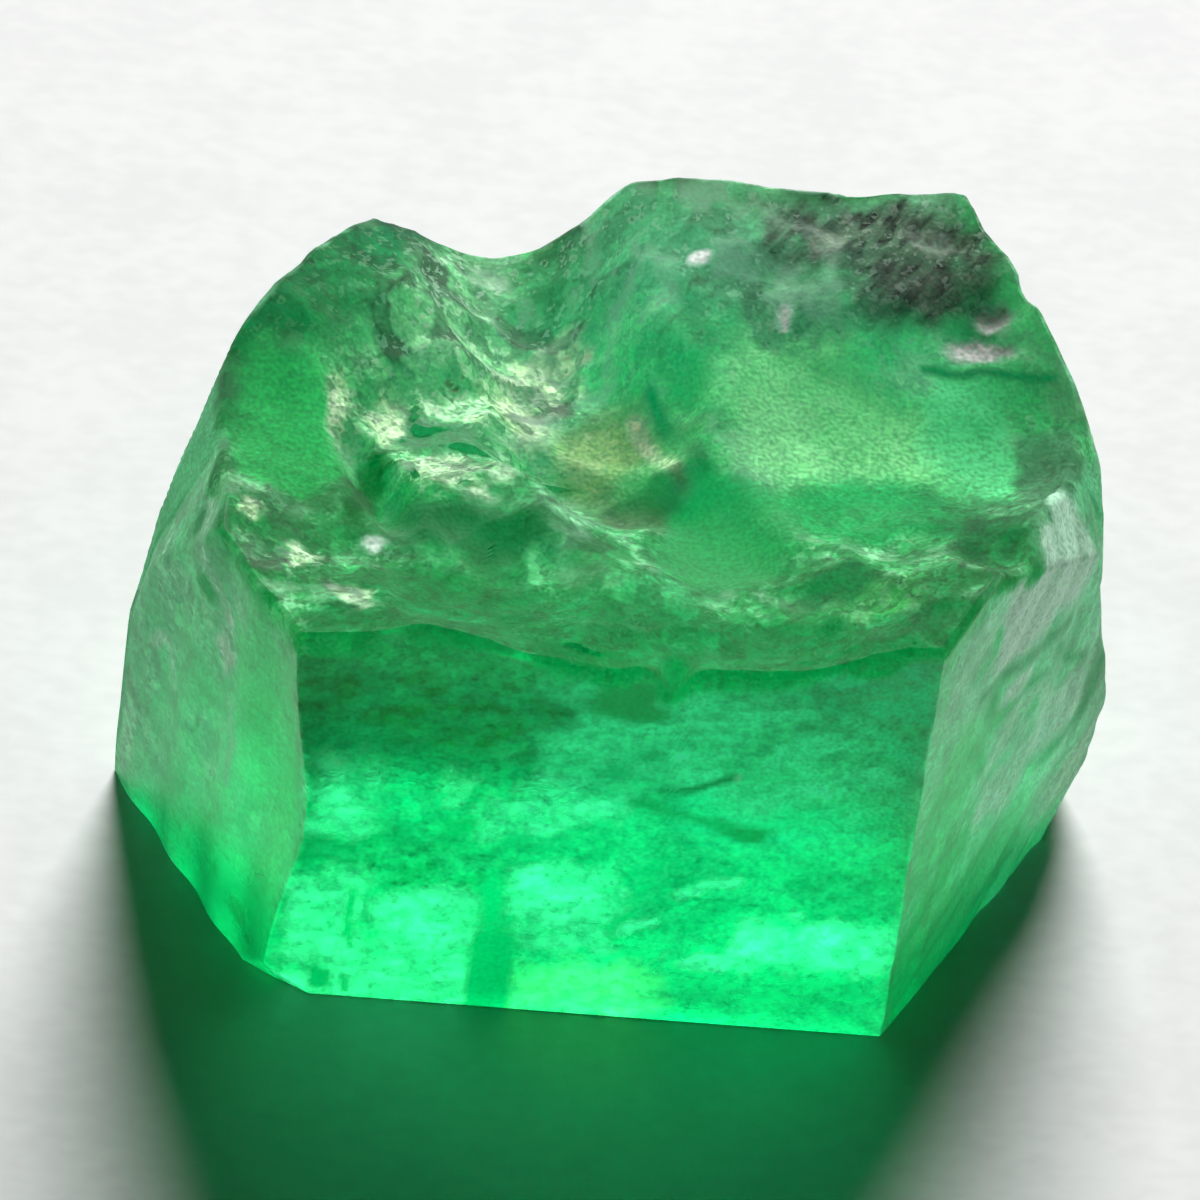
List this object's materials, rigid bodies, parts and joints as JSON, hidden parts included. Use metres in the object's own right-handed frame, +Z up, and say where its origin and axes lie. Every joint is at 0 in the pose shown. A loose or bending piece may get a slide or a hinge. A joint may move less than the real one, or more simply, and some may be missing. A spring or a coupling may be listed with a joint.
{
  "type": "raw emerald crystal",
  "caption": "Raw emerald: a short clear green six-sided beryl prism with ribbed sides, a broken, hollowed top and a flat base that it stands on.",
  "frame": {"origin": "centre of the bounding box's underside, on the flat base", "axes": "+Z up along the crystal's long axis; +X along the longest side, parallel to the smooth front face; -Y out of the front face"},
  "size_m": [0.0122, 0.008, 0.0072],
  "materials": {
    "emerald": "clear green beryl, smooth on the front face and frosted on the side faces and the broken top"
  },
  "bodies": {
    "root": {"emerald_crystal": "emerald"}
  },
  "joints": []
}
